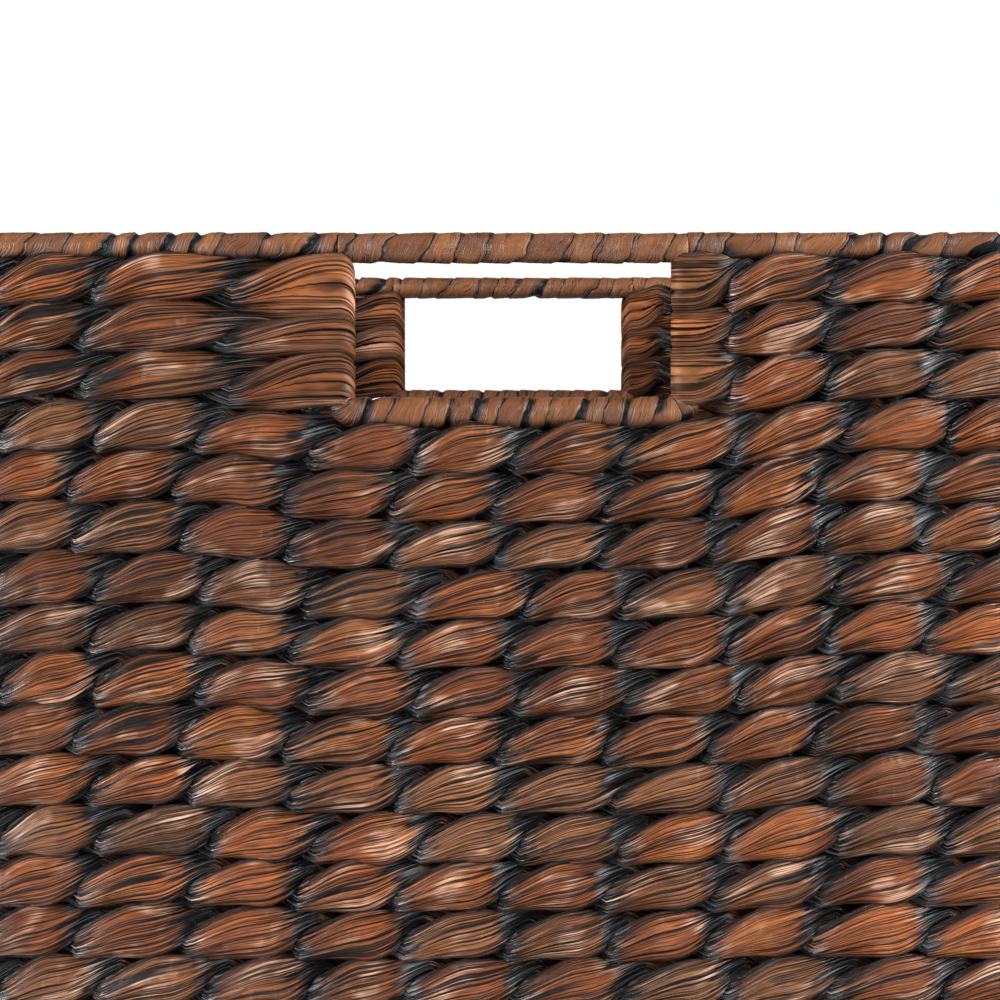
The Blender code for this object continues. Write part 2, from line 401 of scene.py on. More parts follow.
MERGE_DISTANCE = 1e-6
COAT_TINT = (0.92, 0.96, 1.0, 1.0)
STEM_INPUTS = {"Sides": "i", "Half width": "f", "Half thickness": "f", "Pinched width": "f",
               "Pinched thickness": "f", "Swing": "f", "Rise": "f", "Lead": "f", "Crease": "f"}
POST_STEM = (0.0089, 0.0020, 0.0037)  # half width, half thickness and swing round a post
STEM_ROUND, BAR_ROUND = 0.040, 0.034  # way round a stem and round a wound bar, for their patterns


def past_wire(turn, hand):
    """1 where a stem passes a wire, on either side, and nearly 0 where it goes behind its partner."""
    past = turn.math("COSINE") * hand + 0.40
    return ((past * past + 0.006).math("SQRT") / (past.math("SIGN") * 0.40 + 1.0)).math("MINIMUM", 1.0)


def random_at(tree, number, seed):
    """A term from 0 to 1, drawn anew for each whole number."""
    node = add_node(tree, "FunctionNodeRandomValue", {"ID": number, "Seed": seed}, data_type="FLOAT")
    return Term(tree, node.outputs[1])


def stem_tree():
    """A stem that swings from one side of the wires to the other, round its partner."""
    tree, given = new_tree("Twined stem", {**STEM_INPUTS, "Seed": "i", "Material": "m"})
    sweep = Sweep(tree, given["Guide"], given["Sides"])
    turn, along, squeeze, flat = (sweep.sample(name) for name in ("turn", "along", "squeeze", "flat"))
    # The hand is 1 on the way out and -1 on the way back, where the outward direction points inwards.
    calm, hand = sweep.sample("calm"), sweep.sample("hand")
    sine = turn.math("SINE")
    seed = given["Seed"] * 17.31

    # Half the section's size: wide over a wire, narrowest just after it goes behind its partner.
    open_way = past_wire(turn, hand)
    open_share = open_way.math("POWER", 0.92)
    lumps = (noise(tree, (along * 26.0, seed, 0.0), detail=1.0) - 0.5) * calm
    width = mixed(given["Pinched width"], given["Half width"], open_share)
    width = mixed(width * (1.0 + lumps * 0.55), POST_STEM[0], flat) * squeeze
    thickness = mixed(given["Pinched thickness"], given["Half thickness"], open_share)
    thickness = mixed(thickness, POST_STEM[1], flat)

    # Creases that run along the stem. Round a post the section is boxy.
    ring_x, ring_y = sweep.angle.math("COSINE"), sweep.angle.math("SINE")
    fold_place = (ring_x * 2.6, ring_y * 2.6, along * 20.0 + seed)
    folds = (noise(tree, fold_place, detail=2.0, roughness=0.6) - 0.5) * 2.0 * calm
    depth = folds * given["Crease"] * mixed(1.5, 0.8, open_share) * (1.0 - flat * 0.8)
    boxy = 1.0 - flat * 0.62
    square_x = ring_x.math("SIGN") * ring_x.math("ABSOLUTE").math("POWER", boxy)
    square_y = ring_y.math("SIGN") * ring_y.math("ABSOLUTE").math("POWER", boxy)
    across = square_x * thickness + depth * ring_x
    upward = square_y * width + depth * ring_y

    # It passes under its partner on the way out and over it on the way in.
    tilt = sine * hand * 0.45 * (1.0 - flat)
    tilt_cos, tilt_sin = tilt.math("COSINE"), tilt.math("SINE")
    ahead = (turn + hand * given["Lead"] * (1.0 - flat)).math("COSINE")
    swing = ahead.math("SIGN") * ahead.math("ABSOLUTE").math("POWER", 0.70)
    swing = swing * mixed(given["Swing"], POST_STEM[2], flat)
    rise = sine.math("SIGN") * (1.0 - open_way) * given["Rise"] * squeeze
    out_part = swing + across * tilt_cos - upward * tilt_sin
    rise_part = rise + across * tilt_sin + upward * tilt_cos
    position = sweep.placed(out_part, rise_part)

    # One tone for each pass in front of a wire, which blends into the next behind a wire.
    stretch = turn / (2 * math.pi) + hand * 0.25 + 0.25
    number, share = stretch.math("FLOOR"), stretch.math("FRACT")
    early, late = (1.0 - share.between(0.0, 0.22)) * 0.5, share.between(0.78, 1.0) * 0.5
    drawn = []
    for which in (0, 500):
        before, here, after = (random_at(tree, number + step, given["Seed"] + which)
                               for step in (-1, 0, 1))
        drawn.append(here + (before - here) * early + (after - here) * late)
    stored = {"tone": drawn[0], "level": drawn[1], "end": 1.0 - past_wire(turn + hand * 0.30, hand),
              "late": sine.between(0.1, 1.0), "folds": folds, "flat": flat}
    map_place = combine(tree, sweep.round * STEM_ROUND, along, 0.0)
    sweep.finish(position, stored, map_place, given["Material"])
    return tree


def strip_tree():
    """A leaf strip wound round a bar, each turn lapping over the one before."""
    tree, given = new_tree("Wound strip", {
        "Sides": "i", "Radius": "f", "Width": "f", "Overlap": "f", "Slant": "f", "Ties": "f",
        "Underside shade": "f", "Seed": "i", "Material": "m"})
    sweep = Sweep(tree, given["Guide"], given["Sides"])
    along = sweep.sample("along")
    cap = sweep.sample("cap")
    seed = given["Seed"] * 7.77
    ring_x, ring_y = sweep.angle.math("COSINE"), sweep.angle.math("SINE")

    # Turns of unequal width, whose edges lean as they go round.
    drift = (noise(tree, (along * 45.0, seed, 0.0), detail=1.0) - 0.5) * 1.9
    lean = sweep.round * given["Slant"]
    wander = (noise(tree, (ring_x, ring_y, along * 90.0 + seed), detail=1.0) - 0.5) * 0.30
    turns = along / given["Width"] + drift + lean + wander
    share = turns.math("FRACT")
    # How far along the strip itself a point is, in turns: it runs on smoothly from turn to turn.
    strip_way = turns.math("FLOOR") - lean
    tone = noise(tree, (strip_way * 1.7, seed, 3.0), detail=0.0).between(0.28, 0.72)
    # Ties pinch the strip; the material also puts painted shade in each tie's notch.
    tie = noise(tree, (strip_way * 0.9, seed, 8.0), detail=0.0)
    tie = (tie + given["Ties"]).between(0.66, 0.70) * (1.0 - share.between(0.05, 0.50))
    step = share.math("POWER", 0.6) - share.between(0.92, 1.0)
    ridge_place = (ring_x * 1.1, ring_y * 1.1, turns * 9.0 + seed)
    ridges = (noise(tree, ridge_place, detail=1.0) - 0.5) * 2.0
    radius = given["Radius"] + given["Overlap"] * (step - 0.6) + ridges * 0.00025
    lumps = noise(tree, (along * 30.0, seed, 5.0), detail=1.0) - 0.5
    radius = radius * (1.0 - tie * 0.17 + lumps * 0.11) * cap
    position = sweep.placed(ring_x * radius, ring_y * radius)
    # Painted shade on the underside of the bar, as strong as the share given for it.
    painted_underside_shade = (ring_y * -1.0).between(0.25, 0.95) * given["Underside shade"]
    stored = {"tone": tone, "pitch": given["Width"], "tie": tie, "low": painted_underside_shade}
    map_place = combine(tree, sweep.round * BAR_ROUND, turns * given["Width"], 0.0)
    sweep.finish(position, stored, map_place, given["Material"])
    return tree


# ---- materials


def new_material(name):
    material = bpy.data.materials.new(name)
    material.use_nodes = True
    return material, material.node_tree, material.node_tree.nodes["Principled BSDF"]


def colour_mix(tree, first, second, share):
    node = add_node(tree, "ShaderNodeMix", data_type="RGBA")
    feed(tree, node.inputs[0], share)
    for place, value in ((6, first), (7, second)):
        if isinstance(value, bpy.types.NodeSocket):
            tree.links.new(value, node.inputs[place])
        else:
            node.inputs[place].default_value = (*value, 1.0)
    return node.outputs[2]


def attribute(tree, name):
    return Term(tree, add_node(tree, "ShaderNodeAttribute", attribute_name=name).outputs["Fac"])


def map_parts(tree):
    """Distance round and along the stem, in metres."""
    place = add_node(tree, "ShaderNodeUVMap", uv_map="Stem map")
    parts = add_node(tree, "ShaderNodeSeparateXYZ", {"Vector": place.outputs[0]})
    return Term(tree, parts.outputs[0]), Term(tree, parts.outputs[1])


def streaks(tree, across, along, per_across, per_along, shift):
    """Long thin noise: so many streaks a metre across, so many a metre along."""
    return noise(tree, (across * per_across, along * per_along, shift), detail=1.0, roughness=0.55)


def dress(tree, shader, height, distance, inputs):
    """Feeds a shader's inputs, and its bump to both of its layers."""
    bump = add_node(tree, "ShaderNodeBump", {"Height": height, "Distance": distance}).outputs["Normal"]
    for name, value in {**inputs, "Normal": bump, "Coat Normal": bump}.items():
        feed(tree, shader.inputs[name], value)


def long_lines(tree, across, along, per_across, per_along, shift, presence):
    """Thin dark lines along the stem, which come and go; more of them where presence is higher."""
    level = noise(tree, (across * per_across, along * per_along, shift), detail=0.0)
    place = (across * per_across * 0.45, along * per_along * 2.2, shift + 5.0)
    mask = (noise(tree, place, detail=1.0) + presence).between(0.44, 0.54)
    return (1.0 - (level - 0.5).math("ABSOLUTE").between(0.015, 0.070)) * mask


def stem_material(finish):
    """Dried stem under a dark stain and clear lacquer: fine fibres, black folds, painted shade at the ends
    and between rows, painted sheen patches and painted glints at the ends.
    """
    material, tree, shader = new_material("Lacquered stem")
    across, along = map_parts(tree)
    names = ("tone", "level", "end", "late", "folds", "flat")
    tone, level, end, late, folds, flat = (attribute(tree, name) for name in names)
    bend = (noise(tree, (across * 40.0, along * 30.0, 0.0), detail=0.0) - 0.5) * 0.0002
    # Near 1 at the top and bottom of a stem's section, where the painted shade between rows goes.
    side = (across / STEM_ROUND * (2 * math.pi)).math("COSINE").math("ABSOLUTE")
    across = across + bend
    # Dark stain and painted shade at the ends, where a stem goes behind its partner, run out along the
    # fibres like the teeth of a comb.
    comb = streaks(tree, across, along, 1000.0, 12.0, 15.0)
    near_end = (end + (comb - 0.5) * 1.6).between(0.45, 0.62)
    fibres = streaks(tree, across, along, 1500.0, 32.0, 1.0)
    grain = streaks(tree, across, along, 2600.0, 150.0, 6.0)
    presence = late * 0.10 + end.between(0.1, 0.8) * 0.08 + 0.11
    line = long_lines(tree, across, along, 900.0, 7.0, 4.0, presence - flat * 0.10)
    hair = long_lines(tree, across, along, 1900.0, 9.0, 9.0, presence + 0.02)
    blotch = noise(tree, (across * 90.0, along * 60.0, 2.0), detail=3.0)
    hollow = (folds * -1.0).between(0.15, 0.75)
    # Painted shade along the top and bottom edges of each stem, where one row meets the next and shade
    # falls.
    edges = (side + (comb - 0.5) * 0.16).between(0.84, 0.985) * (1.0 - flat * 0.6)
    # Dark stain in the fibre lines, hairs and creases, with painted shade at the ends and along the edges.
    stain_and_shade = line * 0.95 + hair * 0.85 + hollow * 0.35 * (1.0 - flat)
    stain_and_shade = (stain_and_shade + near_end * (1.0 - flat) + edges * 0.9).math("MINIMUM", 1.0)
    warm = colour_mix(tree, finish.stem, finish.stem_pale, (tone + blotch * 0.5).between(0.80, 1.25))
    warm = colour_mix(tree, warm, finish.stem_bright, (blotch - tone * 0.35).between(0.32, 0.60) * 0.60)
    warm = colour_mix(tree, warm, finish.strip, flat * 0.65)
    colour = scaled(tree, warm, (fibres * 1.9 + grain * 2.2 - 1.02) * (level * 0.60 + 0.70))
    scuff = streaks(tree, along, across, 330.0, 150.0, 3.0).between(0.58, 0.68)
    scuff = scuff * blotch.between(0.50, 0.62) * (1.0 - near_end) * (1.0 - flat)
    colour = colour_mix(tree, colour, finish.scuff, scuff * 0.30)
    # Painted sheen: pale patches along the fibres, painted in for the broad highlights of the lacquer.
    painted_sheen = noise(tree, (across * 110.0, along * 48.0, 12.0), detail=2.0).between(0.52, 0.66)
    painted_sheen = painted_sheen * (fibres + grain * 0.6).between(0.60, 1.00) * (1.0 - flat * 0.5)
    colour = colour_mix(tree, colour, finish.painted_sheen, painted_sheen * 0.80)
    colour = colour_mix(tree, colour, finish.stain_and_shade_colour, stain_and_shade)
    # Painted glints: grey streaks on the dark ends, painted in for the lacquer's highlights there.
    painted_glint = long_lines(tree, across, along, 1300.0, 16.0, 21.0, 0.03).math("POWER", 2.0)
    painted_glint = painted_glint * end.between(0.40, 0.62) * (1.0 - flat)
    colour = colour_mix(tree, colour, finish.painted_glint, painted_glint * 0.36)
    glints = (fibres + grain * 0.5).between(0.66, 0.82)
    dress(tree, shader, fibres + grain * 0.5 - line * 0.9 - hair * 0.5, 0.0011, {
        "Base Color": colour,
        "Roughness": fibres * 0.36 + 0.18 + flat * 0.20,
        "Specular IOR Level": 0.22 - stain_and_shade * 0.16,
        "Coat Weight": mixed(0.34, glints, end.between(0.25, 0.75)) * (1.0 - flat),
        "Coat Roughness": 0.24,
        "Coat Tint": COAT_TINT,
    })
    return material


def strip_material(finish):
    """Wound leaf strip: paler and more matt than the stems, with fibres across the bar."""
    material, tree, shader = new_material("Wound leaf strip")
    across, along = map_parts(tree)
    tone, pitch, tie, low = (attribute(tree, name) for name in ("tone", "pitch", "tie", "low"))
    share = (along / pitch).math("FRACT")
    fibres = streaks(tree, along, across, 1900.0, 60.0, 1.0)
    grain = streaks(tree, along, across, 3000.0, 150.0, 6.0)
    lines = long_lines(tree, along, across, 800.0, 28.0, 4.0, 0.0)
    blotch = noise(tree, (across * 120.0, along * 110.0, 2.0), detail=4.0, roughness=0.6)
    edge = (1.0 - share.between(0.0, 0.06)) + share.between(0.965, 0.99)
    shadow = 1.0 - share.between(0.0, 0.30)
    dark = (tone * 0.6 + blotch * 0.8).between(0.50, 1.10)
    pale = (blotch - tone * 0.15).between(0.44, 0.60)
    colour = colour_mix(tree, finish.strip, finish.strip_dark, dark)
    colour = colour_mix(tree, colour, finish.strip_pale, pale * 0.55)
    colour = scaled(tree, colour, fibres * 0.9 + grain * 0.9 + 0.10)
    # Dark stain in the lines and edge joints, with painted shade in the tie notches and on the underside,
    # and a painted shadow just past each lapping edge.
    stain_and_shade = edge * 0.95 + lines * 0.70 + tie * 1.2 + shadow * 0.22 + low
    colour = colour_mix(tree, colour, finish.stain_and_shade_colour, stain_and_shade.math("MINIMUM", 1.0))
    dress(tree, shader, (fibres - lines - edge) * 0.6, 0.0006, {
        "Base Color": colour,
        "Roughness": fibres * 0.30 + 0.34,
        "Specular IOR Level": 0.26,
        "Coat Weight": 0.08,
        "Coat Roughness": 0.28,
        "Coat Tint": COAT_TINT,
    })
    return material


def wire_material(finish):
    """Coated wire: dark, satin, a little uneven."""
    material, tree, shader = new_material("Coated wire")
    place = add_node(tree, "ShaderNodeTexCoord").outputs["Object"]
    grain = noise(tree, place, scale=420.0, detail=3.0)
    pale = tuple(2.2 * part for part in finish.wire)
    dress(tree, shader, grain, 0.0001, {
        "Base Color": colour_mix(tree, finish.wire, pale, grain.between(0.4, 0.7)),
        "Roughness": 0.45 + grain * 0.25,
        "Specular IOR Level": 0.12,
    })
    return material


def shader_mix(tree, share, first, second):
    mix = tree.nodes.new("ShaderNodeMixShader")
    feed(tree, mix.inputs[0], share)
    tree.links.new(first.outputs[0], mix.inputs[1])
    tree.links.new(second.outputs[0], mix.inputs[2])
    return mix.outputs[0]


def floor_material():
    """A pale floor that fades away with distance from the basket."""
    material, tree, shader = new_material("Pale floor")
    place = add_node(tree, "ShaderNodeTexCoord").outputs["Object"]
    grain = noise(tree, place, scale=9.0, detail=2.0)
    colour = colour_mix(tree, (0.84, 0.84, 0.84), (0.88, 0.88, 0.88), grain)
    tree.links.new(colour, shader.inputs["Base Color"])
    shader.inputs["Roughness"].default_value = 0.7
    reach = add_node(tree, "ShaderNodeVectorMath", operation="LENGTH")
    feed(tree, reach.inputs[0], place)
    far = Term(tree, reach.outputs["Value"]).between(0.40, 1.10)
    clear = tree.nodes.new("ShaderNodeBsdfTransparent")
    leave = next(node for node in tree.nodes if node.type == "OUTPUT_MATERIAL")
    tree.links.new(shader_mix(tree, far, shader, clear), leave.inputs["Surface"])
    return material


def material_named(name, make):
    """The finish of this name, made the first time it is asked for."""
    found = bpy.data.materials.get(name)
    return found or make(bpy.context.scene.basket_finish)


# ---- guides


def new_guide(name, rows):
    """A line of points, each with the numbers and directions that the trees read there."""
    for order, row in enumerate(rows):
        # Nothing random at the ends, so that the first and the last ring of a closed guide meet.
        row["calm"] = smooth(min(order, len(rows) - 1 - order), 0, 8)
    mesh = bpy.data.meshes.new(name)
    mesh.vertices.add(len(rows))
    for label, first in rows[0].items():
        values = np.array([row[label] for row in rows], np.float32).ravel()
        if label == "point":
            mesh.vertices.foreach_set("co", values)
        elif isinstance(first, tuple):
            mesh.attributes.new(label, "FLOAT_VECTOR", "POINT").data.foreach_set("vector", values)
        else:
            mesh.attributes.new(label, "FLOAT", "POINT").data.foreach_set("value", values)
    obj = bpy.data.objects.new(name, mesh)
    collection_named(GUIDES).objects.link(obj)
    return obj


def collection_named(name):
    found = bpy.data.collections.get(name)
    if not found:
        found = bpy.data.collections.new(name)
        bpy.context.scene.collection.children.link(found)
    return found


def grow(name, guides, tree, sizes, material):
    """Runs a tree along each guide and joins what it makes into one plain mesh."""
    total = bmesh.new()
    for guide in guides:
        modifier = guide.modifiers.new("Grow", "NODES")
        modifier.node_group = tree
        sockets = {item.name: item.identifier for item in tree.interface.items_tree
                   if item.in_out == "INPUT"}
        for label, value in {**sizes, "Material": material}.items():
            modifier[sockets[label]] = value
        bpy.context.view_layer.update()
        graph = bpy.context.evaluated_depsgraph_get()
        mesh = bpy.data.meshes.new_from_object(guide.evaluated_get(graph))
        total.from_mesh(mesh)
        bpy.data.meshes.remove(mesh)
        bpy.data.objects.remove(guide, do_unlink=True)
    if not total.faces:
        raise RuntimeError(f"{name} came out empty")
    mesh = bpy.data.meshes.new(name)
    total.to_mesh(mesh)
    total.free()
    mesh.materials.append(material)
    piece = bpy.data.objects.new(name, mesh)
    collection_named(PIECES).objects.link(piece)
    return piece


def smooth(value, low, high):
    share = min(max((value - low) / (high - low), 0.0), 1.0)
    return share * share * (3 - 2 * share)


UP = (0, 0, 1)
ROW_PITCH = 0.0175
SILL_LAP = 0.0020  # how far the top full row reaches up behind the sill bars
RIM_LAP = 0.0042  # how far the top handle row reaches up behind the rim
FOOT_CLEARANCE = 0.0046  # between the floor and the guide space of the row round the foot
POST_FLARE = 0.0028  # how much deeper the handle rows reach where they are wrapped round a post
POST_ROOM = 0.012  # least distance from a stem's bend to the next wire
BASE_BEND = 0.022  # length of a base stem's bend
SILL_BEND = 0.0065  # radius of a sill bar's bent ends
POST_SHARES = {  # how the three rows share the height of each handle post, from the bottom up
    ("left", "front"): (0.35, 0.24, 0.41),
    ("left", "back"): (0.36, 0.31, 0.33),
    ("right", "front"): (0.385, 0.235, 0.38),
    ("right", "back"): (0.33, 0.29, 0.38),
}


def sill_dip(distance):
    """1 under a handle opening, falling to 0 along the wall on each side."""
    point, _ = walls.place(distance)
    on_end_wall = abs(point.y) > walls.flat_y
    return (1.0 - smooth(abs(point.x) / walls.post_x, 0.85, 1.95)) if on_end_wall else 0.0


def jitters(draw, reach, count):
    return [draw.uniform(-reach, reach) for _ in range(count)]


def ring(point, out, rise_way, turn, along, squeeze, flat=0.0, swivel=0.0):
    """A stem's ring, with its turn round its partner and its swivel given in half turns."""
    return {"point": point, "out": out, "rise_way": rise_way, "turn": math.pi * turn, "along": along,
            "squeeze": squeeze, "flat": flat, "hand": math.cos(math.pi * swivel)}


def row_guides(name, low, high, dip, steps, seed):
    """Two guides for one row all round: the second stem is half a turn behind the first.

    Each starts and ends where it passes inside a wire, so that the seam doesn't show.
    """
    draw = random.Random(seed)
    count = len(walls.stakes)
    shifts, lifts = jitters(draw, 0.0032, count), jitters(draw, 0.0004, count)
    drift = draw.uniform(-0.0050, 0.0050)
    stops = [stake + shift + drift for stake, shift in zip(walls.stakes, shifts)]
    lifts += lifts[:3]
    stops += [stop + walls.length for stop in stops[:3]]
    centre = (low + high) / 2
    squeeze = (high - low) / ROW_PITCH
    guides = []
    for ply in (0, 1):
        rows = []
        for step in range(count * steps + 1):
            place = 1 - ply + step / steps
            index, share = int(place), place - int(place)
            distance = stops[index] + share * (stops[index + 1] - stops[index])
            lift = lifts[index] + smooth(share, 0, 1) * (lifts[index + 1] - lifts[index])
            sag = sill_dip(distance)
            point, out = walls.place(distance)
            rows.append(ring((point.x, point.y, centre + lift - dip[0] * sag), (out.x, out.y, 0.0), UP,
                             place + ply, distance + 2.0 * ply + seed * 0.01,
                             squeeze * (1 - dip[1] * sag)))
        guides.append(new_guide(f"{name} guide {ply}", rows))
    return guides


def stem_sizes(settings, seed, **changes):
    """The tree's inputs, from the settings of the same names."""
    sizes = {label: getattr(settings, label.lower().replace(" ", "_")) for label in STEM_INPUTS}
    return {**sizes, "Seed": seed, **changes}


def strip_sizes(settings, radius, width, ties, underside_shade_level, seed):
    return {"Sides": settings.sides, "Radius": radius, "Width": width, "Overlap": settings.overlap,
            "Slant": -settings.slant, "Ties": ties, "Underside shade": underside_shade_level, "Seed": seed}


def tree_named(name, make):
    found = bpy.data.node_groups.get(name)
    return found or make()


def stem_kit(context):
    return (context.scene.basket_stems, tree_named("Twined stem", stem_tree),
            material_named("Lacquered stem", stem_material))


def strip_kit(context):
    return (context.scene.basket_strips, tree_named("Wound strip", strip_tree),
            material_named("Wound leaf strip", strip_material))


def settle(piece, slot, *nodes):
    """Puts a finished piece in place of its nodes."""
    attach(piece, "root")
    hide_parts(*nodes)


# ---- operators


class BASKET_OT_rows(bpy.types.Operator):
    """Weave the rows that run all round the basket, from the base edge to the sills"""

    bl_idname = "basket.rows"
    bl_label = "Rows"

    def execute(self, context):
        settings, tree, material = stem_kit(context)
        nodes = ["base_edge_course"] + nodes_named("weave_course")
        first_low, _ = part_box(nodes[1])
        _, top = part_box(nodes[-1])
        sill_low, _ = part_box("sill_wrap_front")
        # Under the sills the same rows share less height, the more the nearer they are to the sill.
        lost = top[2] - sill_low[2] - SILL_LAP
        full = top[2] - first_low[2]
        for index, node in enumerate(nodes):
            low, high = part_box(node)
            bottom = low[2] if index else low[2] + FOOT_CLEARANCE
            share = (bottom + high[2]) / 2 - first_low[2]
            dip = (max(share, 0.0) / full * lost, lost / full if index else 0.0)
            seed = settings.seed + 100 * index
            guides = row_guides(node, bottom, high[2], dip, settings.steps, seed)
            piece = grow(f"row_{node}", guides, tree, stem_sizes(settings, seed), material)
            settle(piece, "twined_stem", node)
        return {"FINISHED"}


class BASKET_OT_handle_rows(bpy.types.Operator):
    """Weave the rows beside the handle openings, which turn back round the posts"""

    bl_idname = "basket.handle_rows"
    bl_label = "Handle rows"

    def execute(self, context):
        settings, tree, material = stem_kit(context)
        for side in ("left", "right"):
            for index, node in enumerate(nodes_named(f"handle_course_{side}")):
                seed = settings.seed + 1000 + 100 * index + (50 if side == "left" else 0)
                guide = half_row_guide(node, index, side, settings, seed)
                sizes = stem_sizes(settings, seed)
                settle(grow(f"row_{node}", [guide], tree, sizes, material), "twined_stem", node)
        return {"FINISHED"}


def handle_edges(index, side, distance, post_share, end):
    """Bottom and top of a handle row here: even along the walls, uneven round a post."""
    low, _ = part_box(f"handle_course_{side}_1")
    _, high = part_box(f"handle_course_{side}_3")
    bottom, height = low[2], high[2] + RIM_LAP - low[2]
    point, _ = walls.place(distance)
    sill_low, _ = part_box("sill_wrap_front")
    drop = (bottom - sill_low[2] - SILL_LAP) * sill_dip(distance) * (1.0 - post_share)
    shares = POST_SHARES[side, end]
    bottom, height = bottom - POST_FLARE * post_share, height + POST_FLARE * post_share
    edges = []
    for order in (index, index + 1):
        even, uneven = order / 3, sum(shares[:order])
        share = even + (uneven - even) * post_share
        edges.append(bottom + height * share - drop * (1.0 - share) ** 1.5)
    return edges


def out_and_back(last, steps, bend_steps, length, bend):
    """Each ring's place in wires, its turn and swivel in half turns, and its distance along the stem.

    The stem starts in the middle of its near bend, goes out, round the far bend and back, and ends there.
    """
    for step in range(bend_steps // 2, bend_steps):
        share = step / bend_steps - 1
        yield 0, 0, share, bend * share
    for lap in (0, 1):
        start = lap * (length + bend)
        for step in range(last * steps):
            way = step / steps
            yield last - way if lap else way, lap * last + way, lap, start + length * step / (last * steps)
        for step in range(bend_steps // 2 + 1 if lap else bend_steps):
            share = step / bend_steps
            yield 0 if lap else last, (lap + 1) * last, lap + share, start + length + bend * share


def half_row_guide(name, index, side, settings, seed):
    """One stem that goes from the front post to the back post, round it and back again.

    On the left the walls run the other way. A bend goes from the outer side of its post to the inner.
    """
    draw = random.Random(seed)
    start, end = walls.post_x, walls.length / 2 - walls.post_x
    first_end, last_end = "front", "back"
    if side == "left":
        start, end = walls.length / 2 + walls.post_x, walls.length - walls.post_x
        first_end, last_end = "back", "front"
    between = [place for place in walls.tall_stakes if start + POST_ROOM < place < end - POST_ROOM]
    shifts = jitters(draw, 0.0035, len(between))
    lifts = [0.0, *jitters(draw, 0.0005, len(between)), 0.0]
    stops = [start] + [place + shift for place, shift in zip(between, shifts)] + [end]
    last = len(stops) - 1
    rows = []
    rings = out_and_back(last, settings.steps, 12, end - start, math.pi * settings.swing)
    for place, turn, swivel, along in rings:
        number = min(int(place), last - 1)
        share = place - number
        ease = smooth(share, 0, 1)
        distance = stops[number] + share * (stops[number + 1] - stops[number])
        near = first_end if place < last / 2 else last_end
        to_post = min(place, last - place)
        low, high = handle_edges(index, side, distance, 1.0 - smooth(to_post, 0.15, 0.95), near)
        point, out = walls.place(distance)
        turned = out.to_3d().copy()
        turned.rotate(Euler((0, 0, math.pi * swivel)))
        lift = lifts[number] * (1 - ease) + lifts[number + 1] * ease
        rows.append(ring((point.x, point.y, (low + high) / 2 + lift), tuple(turned), UP, turn,
                         along + seed * 0.01, (high - low) / ROW_PITCH,
                         1.0 - smooth(to_post, 0.05, 0.62), swivel))
    return new_guide(f"{name} guide", rows)


class BASKET_OT_base(bpy.types.Operator):
    """Weave the rows of the base, over and under the wires that cross it"""

    bl_idname = "basket.base"
    bl_label = "Base"

    def execute(self, context):
        settings, tree, material = stem_kit(context)
        low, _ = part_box("base_weave_under")
        _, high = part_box("base_weave_over")
        thickness = settings.half_thickness
        swing = (high[2] - low[2]) / 2 - thickness
        inner_x = walls.mid_x - settings.swing - thickness - 0.001
        inner_y = walls.mid_y - settings.swing - thickness - 0.001
        count = round(2 * inner_y / ROW_PITCH)
        pitch = 2 * inner_y / count
        crossings = sorted(middle(node).x for node in nodes_named("stake_front_back"))
        # An odd number of stretches would bring the stem back on the wrong side.
        crossings = crossings[1:] if len(crossings) % 2 == 0 else crossings
        guides = []
        for index in range(count):
            y = -inner_y + (index + 0.5) * pitch
            end_x = inner_x - swing - thickness
            if abs(y) > inner_y - walls.radius / 2:
                end_x -= 0.006
            guides.append(base_guide(f"base row {index}", y, (low[2] + high[2]) / 2, end_x, crossings,
                                     pitch, settings.seed + index))
        sizes = stem_sizes(settings, settings.seed + 5, **{
            "Sides": 16, "Swing": swing, "Pinched width": 0.0032, "Pinched thickness": thickness})
        piece = grow("base_weave", guides, tree, sizes, material)
        settle(piece, "twined_stem", "base_weave_under", "base_weave_over")
        return {"FINISHED"}


def base_guide(name, y, z, end_x, crossings, pitch, seed):
    """One stem that crosses the base above and below the wires and comes back beside itself."""
    stops = [-end_x] + [x for x in crossings if abs(x) < end_x - POST_ROOM] + [end_x]
    last = len(stops) - 1
    shift = random.Random(seed).uniform(-0.001, 0.001)
    rows = []
    for place, turn, swivel, along in out_and_back(last, 8, 8, 2 * end_x, BASE_BEND):
        number = min(int(place), last - 1)
        x = stops[number] + (place - number) * (stops[number + 1] - stops[number])
        out = (math.sin(math.pi * swivel), 0.0, math.cos(math.pi * swivel))
        rows.append(ring((x, y + shift * math.sin(9 * x), z), out, (0, 1, 0), turn, along + 3 * seed,
                         pitch / ROW_PITCH, swivel=swivel))
    return new_guide(name, rows)


def bar_guide(name, points, outs, rises):
    """A guide for a wound bar, closed to a point at both ends."""
    line = [Vector(point) for point in points]
    along, rows = 0.0, []
    for order, point in enumerate(line):
        along += (point - line[max(order - 1, 0)]).length
        rows.append({
            "point": tuple(point),
            "out": tuple(outs[order]),
            "rise_way": tuple(rises[order]),
            "along": along,
            "cap": 0.0 if order in (0, len(line) - 1) else 1.0,
        })
    return new_guide(name, rows)


def doubled_ends(points):
    """The same line with its end points given twice, so that the ends can be closed flat."""
    return [points[0], *points, points[-1]]


